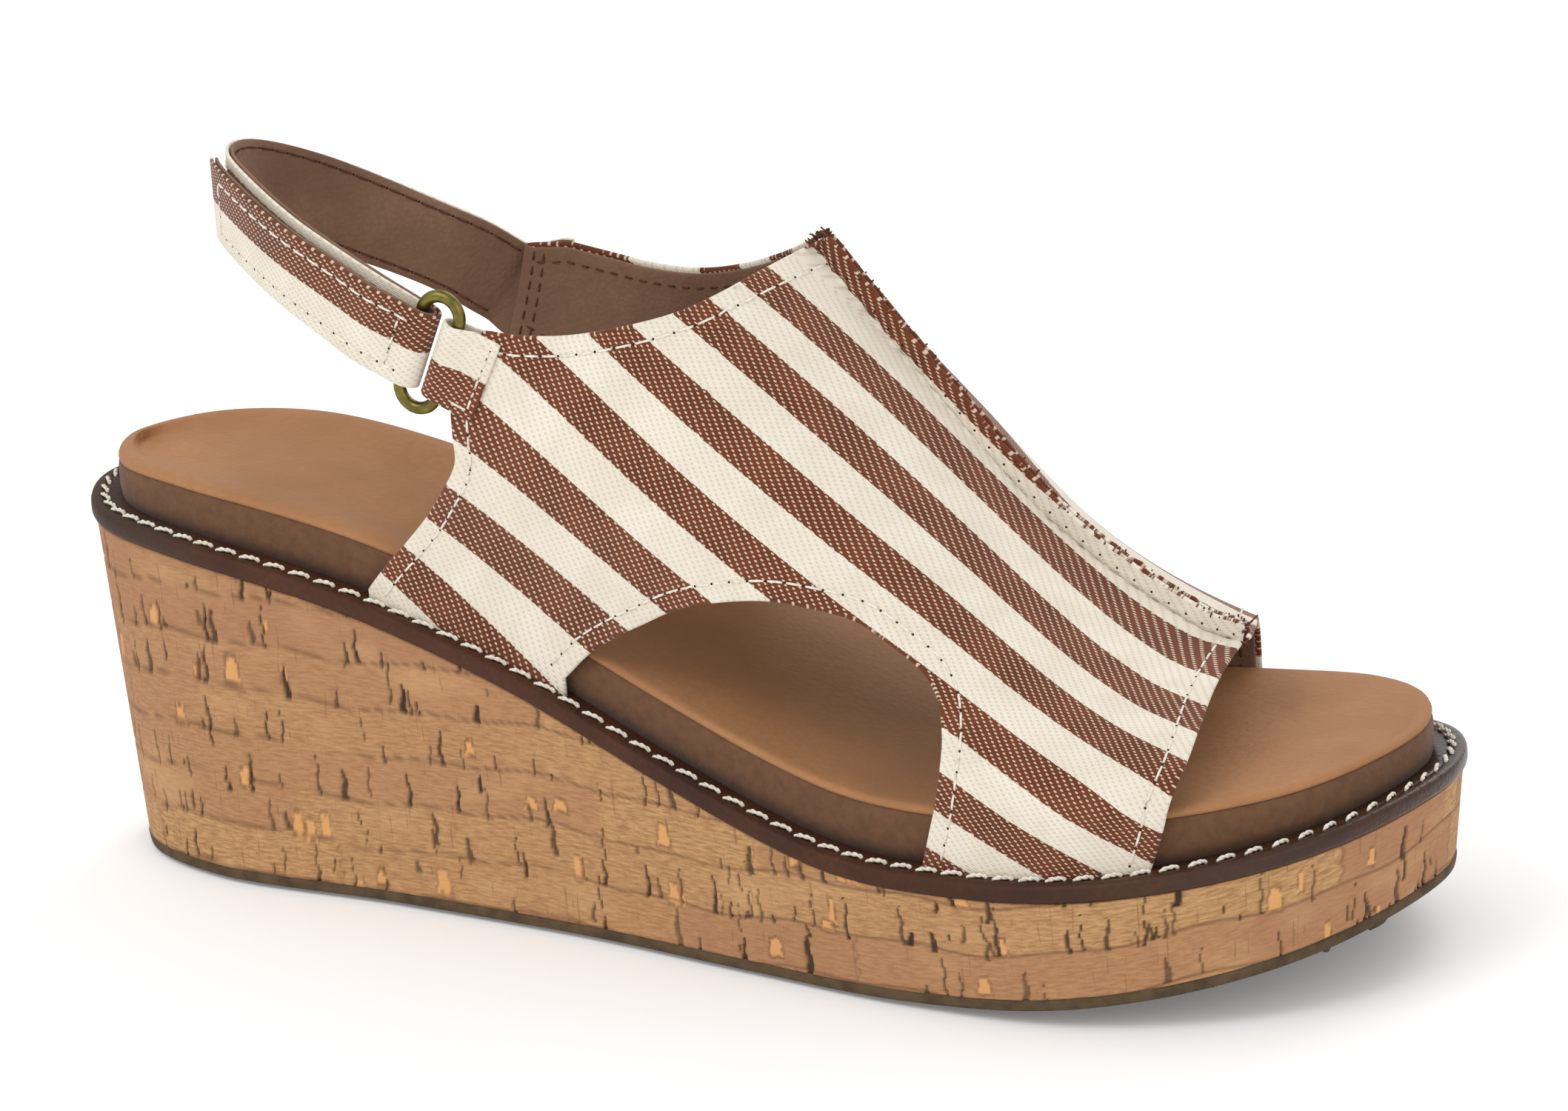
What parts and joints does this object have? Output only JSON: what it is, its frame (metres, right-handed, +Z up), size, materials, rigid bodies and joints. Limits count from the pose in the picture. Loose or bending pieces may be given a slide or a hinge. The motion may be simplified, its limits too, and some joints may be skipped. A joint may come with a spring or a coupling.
{
  "type": "wedge sandal",
  "caption": "Slingback wedge sandal: cork-covered wedge, raised footbed, striped fabric upper with side cut-outs and open toe, heel strap closed through a ring.",
  "frame": {"origin": "centre of the sandal's footprint, on the ground under the outsole", "axes": "+X towards the toe, +Y towards the inner side of the foot, +Z up"},
  "size_m": [0.262, 0.0928, 0.1337],
  "materials": {
    "outsole_rubber": "moulded, matt",
    "wedge_foam": "foam",
    "cork": "cork sheet with dark cracks, satin",
    "welt_leather": "smooth, semi-gloss, darkened edge",
    "stitching": "thick waxed thread",
    "fibre_board": "pressed fibre board",
    "footbed_foam": "foam",
    "footbed_suede": "suede",
    "footbed_leather": "smooth, matt",
    "striped_fabric": "twill with brown and cream stripes",
    "lining_leather": "soft, matt",
    "antique_brass": "antique, satin",
    "hook_and_loop": "hook-and-loop tape"
  },
  "bodies": {
    "upper_and_sole": {"outsole": "outsole_rubber", "wedge_core": "wedge_foam", "cork_wrap": "cork", "welt": "welt_leather", "welt_thread": "stitching", "insole_board": "fibre_board", "footbed_foam": "footbed_foam", "footbed_side_wrap": "footbed_suede", "footbed_top_sock": "footbed_leather", "vamp_lateral_shell": "striped_fabric", "vamp_lateral_lining": "lining_leather", "vamp_medial_shell": "striped_fabric", "vamp_medial_lining": "lining_leather", "ring_tab": "striped_fabric", "sling_lap": "striped_fabric"},
    "heel_strap": {"sling_shell": "striped_fabric", "sling_lining": "lining_leather", "loop_patch": "hook_and_loop", "strap_fold": "striped_fabric"},
    "ring": {"ring": "antique_brass"},
    "strap_tail": {"tail_shell": "striped_fabric", "tail_lining": "lining_leather", "hook_patch": "hook_and_loop"}
  },
  "joints": [
    {"name": "strap_swing", "type": "hinge", "parent": "upper_and_sole", "child": "heel_strap", "pos_m": [-0.03575, -0.03369, 0.10639], "axis": [-0.376, 0.9228, -0.0842], "range_deg": [-20, 20], "deforming": ["ring_tab", "sling_lap"]},
    {"name": "ring_swivel", "type": "hinge", "parent": "heel_strap", "child": "ring", "pos_m": [-0.04254, -0.03369, 0.10931], "axis": [0.3955, 0, 0.9184], "range_deg": [-12, 12]},
    {"name": "tail_peel", "type": "hinge", "parent": "heel_strap", "child": "strap_tail", "pos_m": [-0.04378, -0.03654, 0.10985], "axis": [0.3955, 0, 0.9184], "range_deg": [0, 120]}
  ]
}
